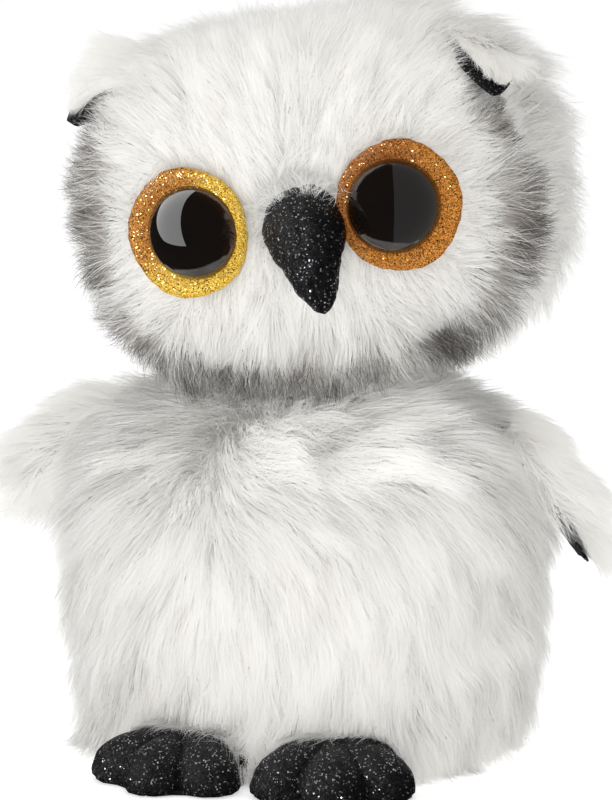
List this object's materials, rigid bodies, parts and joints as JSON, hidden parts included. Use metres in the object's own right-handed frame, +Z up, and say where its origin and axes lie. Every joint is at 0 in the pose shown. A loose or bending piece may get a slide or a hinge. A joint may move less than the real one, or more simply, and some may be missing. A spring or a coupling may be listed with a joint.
{
  "type": "interactive plush pet",
  "caption": "Sitting plush owl with long fur, glossy domed eyes, a hooked fabric beak, loose wings and ears, padded feet and a press-to-play sound module in the belly.",
  "frame": {"origin": "centre of the base panel on the ground", "axes": "+Z up, the owl faces -Y, +X towards the owl's own left"},
  "size_m": [0.1225, 0.0931, 0.1478],
  "materials": {
    "white_fur": "long-pile faux fur",
    "grey_fur": "long-pile faux fur with dark tips",
    "glitter_black": "glitter-coated fabric",
    "glitter_gold": "glitter-coated fabric",
    "eye_black": "polished",
    "washer_white": "moulded",
    "stuffing": "fibre filling",
    "base_cloth": "short-nap woven cloth",
    "bag_cloth": "thin woven cloth",
    "pellets": "loose granules",
    "case_plastic": "moulded",
    "button_plastic": "moulded",
    "board_green": "solder-masked board",
    "steel": "plated",
    "speaker_black": "moulded",
    "speaker_film": "thin film",
    "rubber_grey": "moulded",
    "wire_red": "insulated wire",
    "wire_black": "insulated wire",
    "tape_white": "woven tape"
  },
  "bodies": {
    "torso": {"belly_panel": "white_fur", "back_panel_left": "white_fur", "back_panel_right": "white_fur", "base_panel": "base_cloth", "body_stuffing": "stuffing", "pellet_bag": "bag_cloth", "pellet_fill": "pellets", "closure_loop_strip": "tape_white", "closure_hook_strip": "tape_white", "module_pouch": "bag_cloth", "module_case_front": "case_plastic", "module_case_back": "case_plastic", "battery_door": "case_plastic", "door_screw": "steel", "case_screw_1": "steel", "case_screw_2": "steel", "case_screw_3": "steel", "circuit_board": "board_green", "switch_dome": "rubber_grey", "speaker_basket": "speaker_black", "speaker_magnet": "steel", "speaker_film": "speaker_film", "button_cell_1": "steel", "button_cell_2": "steel", "button_cell_3": "steel", "battery_contact_bridge": "steel", "battery_contact_end": "steel", "speaker_wire_red": "wire_red", "speaker_wire_black": "wire_black", "button_spring": "steel"},
    "button": {"press_button": "button_plastic"},
    "neck": {"neck_cord": "tape_white"},
    "head": {"face_panel": "white_fur", "face_fringe": "grey_fur", "crown_panel_left": "white_fur", "crown_panel_right": "white_fur", "head_stuffing": "stuffing", "eye_left_dome": "eye_black", "eye_left_glitter_disc": "glitter_gold", "eye_left_washer": "washer_white", "eye_right_dome": "eye_black", "eye_right_glitter_disc": "glitter_gold", "eye_right_washer": "washer_white", "beak_cover": "glitter_black", "beak_stuffing": "stuffing"},
    "ear_left": {"ear_left_fur": "white_fur", "ear_left_lining": "glitter_black"},
    "ear_right": {"ear_right_fur": "white_fur", "ear_right_lining": "glitter_black"},
    "wing_left": {"wing_left_fur": "white_fur", "wing_left_lining": "glitter_black"},
    "wing_right": {"wing_right_fur": "white_fur", "wing_right_lining": "glitter_black"},
    "foot_left": {"foot_left_cover": "glitter_black", "foot_left_stuffing": "stuffing", "foot_left_sole": "glitter_black"},
    "foot_right": {"foot_right_cover": "glitter_black", "foot_right_stuffing": "stuffing", "foot_right_sole": "glitter_black"}
  },
  "joints": [
    {"name": "head_turn", "type": "hinge", "parent": "torso", "child": "neck", "pos_m": [0, 0, 0.074], "axis": [0, 0, 1], "range_deg": [-25, 25]},
    {"name": "head_tilt", "type": "hinge", "parent": "neck", "child": "head", "pos_m": [0, 0, 0.074], "axis": [0.1392, -0.9903, 0], "range_deg": [-21, 5]},
    {"name": "ear_left_flop", "type": "hinge", "parent": "head", "child": "ear_left", "pos_m": [0.03222, -0.00167, 0.14182], "axis": [-0.6905, -0.6735, 0.2639], "range_deg": [-2, 40]},
    {"name": "ear_right_flop", "type": "hinge", "parent": "head", "child": "ear_right", "pos_m": [-0.03028, -0.01349, 0.13739], "axis": [-0.2802, 0.8555, 0.4355], "range_deg": [-2, 40]},
    {"name": "wing_left_flap", "type": "hinge", "parent": "torso", "child": "wing_left", "pos_m": [0.0366, 0.006, 0.0645], "axis": [0.4226, -0.9063, 0], "range_deg": [-3, 50]},
    {"name": "wing_right_flap", "type": "hinge", "parent": "torso", "child": "wing_right", "pos_m": [-0.0366, 0.006, 0.0645], "axis": [0.2419, 0.9703, 0], "range_deg": [-24, 30]},
    {"name": "foot_left_flex", "type": "hinge", "parent": "torso", "child": "foot_left", "pos_m": [0.0146, -0.0345, 0.0015], "axis": [-1, 0, 0], "range_deg": [-20, 7]},
    {"name": "foot_right_flex", "type": "hinge", "parent": "torso", "child": "foot_right", "pos_m": [-0.0146, -0.0345, 0.0015], "axis": [-1, 0, 0], "range_deg": [-20, 7]},
    {"name": "button_press", "type": "slide", "parent": "torso", "child": "button", "axis": [0, 1, 0], "range_m": [0, 0.0012], "stiffness_N_per_m": 400, "deforming": ["button_spring"]}
  ]
}
